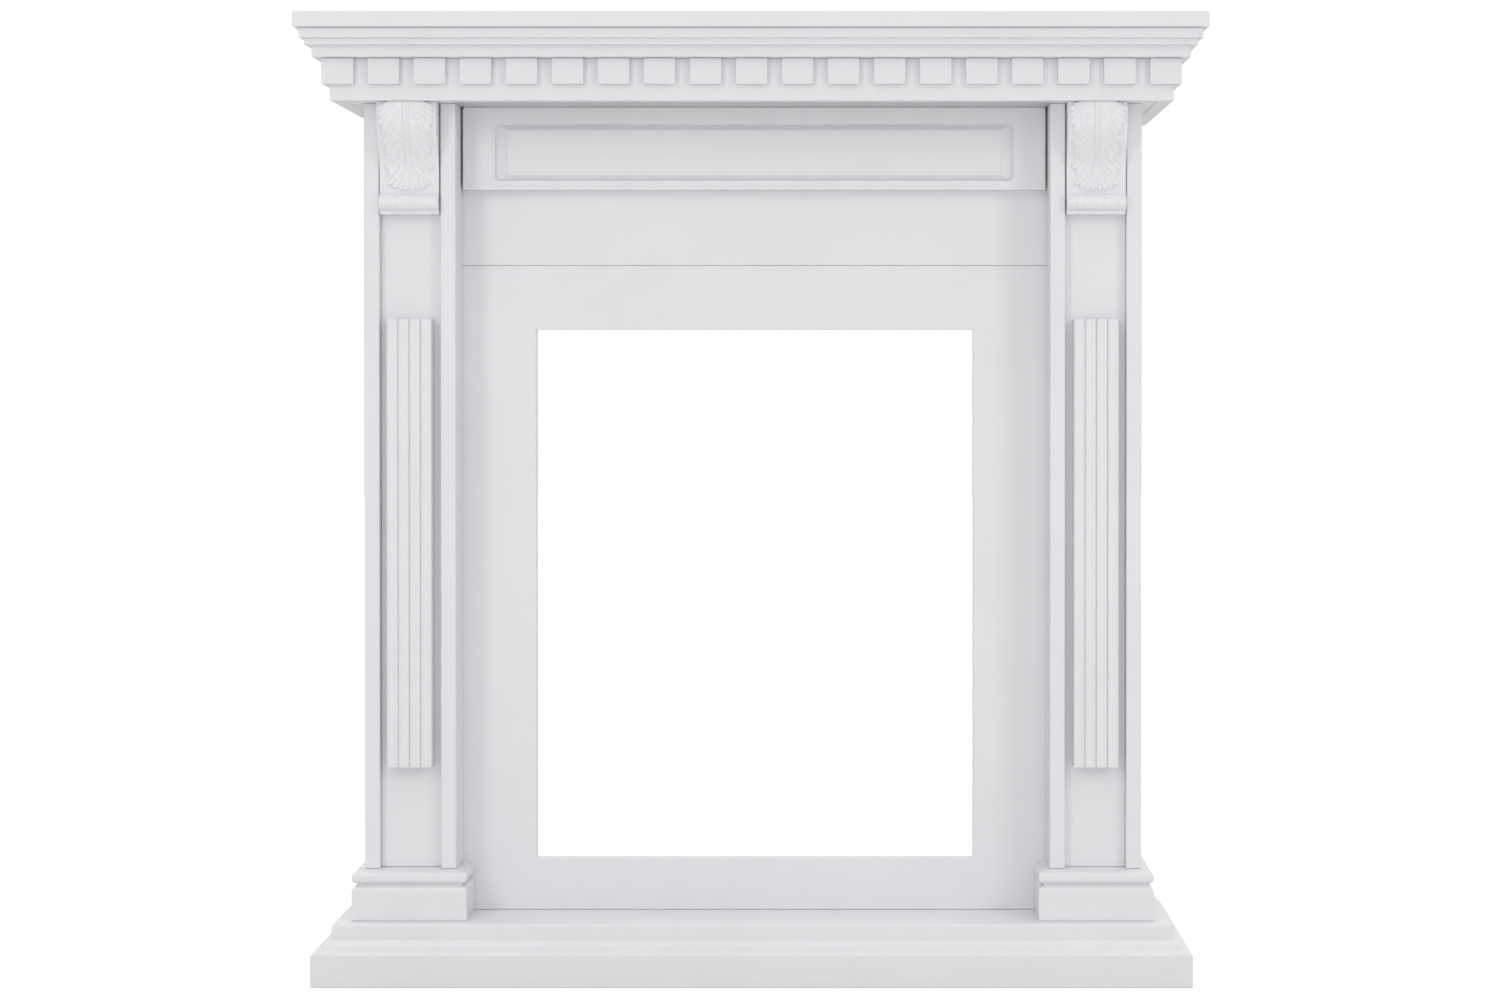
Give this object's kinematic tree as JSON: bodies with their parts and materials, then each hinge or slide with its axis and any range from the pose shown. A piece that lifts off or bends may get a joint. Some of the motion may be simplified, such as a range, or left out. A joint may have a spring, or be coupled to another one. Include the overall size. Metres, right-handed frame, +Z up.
{
  "type": "fireplace mantelpiece",
  "caption": "White painted mantelpiece: dentil cornice and shelf on pilasters with reeded strips and acanthus corbels, round a rectangular firebox opening, on a moulded base.",
  "frame": {"origin": "on the floor at the middle of the piece: the bottom centre of its box, the box running from the shelf's front edge to the wall", "axes": "+Z up, +Y towards the wall, +X to the right seen from the front"},
  "size_m": [1, 0.35, 1.07],
  "materials": {
    "painted_board": "white satin paint on smooth fibreboard",
    "painted_moulding": "white satin paint on milled mouldings",
    "painted_carving": "white glossier paint on carved ornament"
  },
  "bodies": {
    "root": {"base_skirting_front": "painted_moulding", "base_skirting_left": "painted_moulding", "base_skirting_right": "painted_moulding", "base_top_board": "painted_board", "plinth_left": "painted_moulding", "plinth_return_left": "painted_moulding", "pilaster_left_outer_board": "painted_board", "pilaster_left_inner_board": "painted_board", "pilaster_left_field_board": "painted_board", "reeded_strip_left": "painted_moulding", "corbel_left": "painted_carving", "plinth_right": "painted_moulding", "plinth_return_right": "painted_moulding", "pilaster_right_outer_board": "painted_board", "pilaster_right_inner_board": "painted_board", "pilaster_right_field_board": "painted_board", "reeded_strip_right": "painted_moulding", "corbel_right": "painted_carving", "facing_panel_lower": "painted_board", "facing_panel_upper": "painted_board", "frieze_panel": "painted_board", "soffit_board": "painted_board", "cornice_fascia_front": "painted_board", "cornice_fascia_left": "painted_board", "cornice_fascia_right": "painted_board", "cornice_moulding_front": "painted_moulding", "cornice_moulding_left": "painted_moulding", "cornice_moulding_right": "painted_moulding", "dentil_front_01": "painted_moulding", "dentil_front_02": "painted_moulding", "dentil_front_03": "painted_moulding", "dentil_front_04": "painted_moulding", "dentil_front_05": "painted_moulding", "dentil_front_06": "painted_moulding", "dentil_front_07": "painted_moulding", "dentil_front_08": "painted_moulding", "dentil_front_09": "painted_moulding", "dentil_front_10": "painted_moulding", "dentil_front_11": "painted_moulding", "dentil_front_12": "painted_moulding", "dentil_front_13": "painted_moulding", "dentil_front_14": "painted_moulding", "dentil_front_15": "painted_moulding", "dentil_front_16": "painted_moulding", "dentil_front_17": "painted_moulding", "dentil_corner_left": "painted_moulding", "dentil_left_1": "painted_moulding", "dentil_left_2": "painted_moulding", "dentil_left_3": "painted_moulding", "dentil_left_4": "painted_moulding", "dentil_left_5": "painted_moulding", "dentil_corner_right": "painted_moulding", "dentil_right_1": "painted_moulding", "dentil_right_2": "painted_moulding", "dentil_right_3": "painted_moulding", "dentil_right_4": "painted_moulding", "dentil_right_5": "painted_moulding", "shelf_board": "painted_board"}
  },
  "joints": []
}
